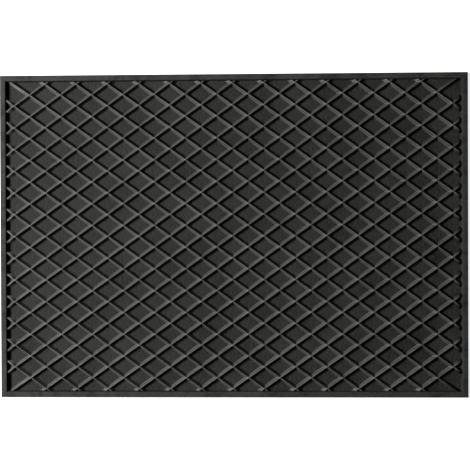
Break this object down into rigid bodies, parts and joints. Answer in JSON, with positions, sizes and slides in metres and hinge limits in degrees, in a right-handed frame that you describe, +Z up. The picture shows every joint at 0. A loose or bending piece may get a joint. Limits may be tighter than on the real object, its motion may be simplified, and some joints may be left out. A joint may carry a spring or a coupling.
{
  "type": "door mat",
  "caption": "Flat rectangular rubber scraper mat: a thin floor sheet inside a raised rim, crossed by a lattice of straight scraper ribs in diamonds.",
  "frame": {"origin": "middle of the underside, on the surface that the mat lies on", "axes": "+X along the long side, +Y along the short side, +Z up, out of the ribbed face"},
  "size_m": [0.65, 0.45, 0.008],
  "materials": {
    "floor_rubber": "matt moulded black rubber with a fine grain",
    "lattice_rubber": "satin moulded black rubber",
    "rim_rubber": "satin moulded black rubber"
  },
  "bodies": {
    "root": {"floor_sheet": "floor_rubber", "diamond_lattice": "lattice_rubber", "rim_front": "rim_rubber", "rim_back": "rim_rubber", "rim_left": "rim_rubber", "rim_right": "rim_rubber"}
  },
  "joints": []
}
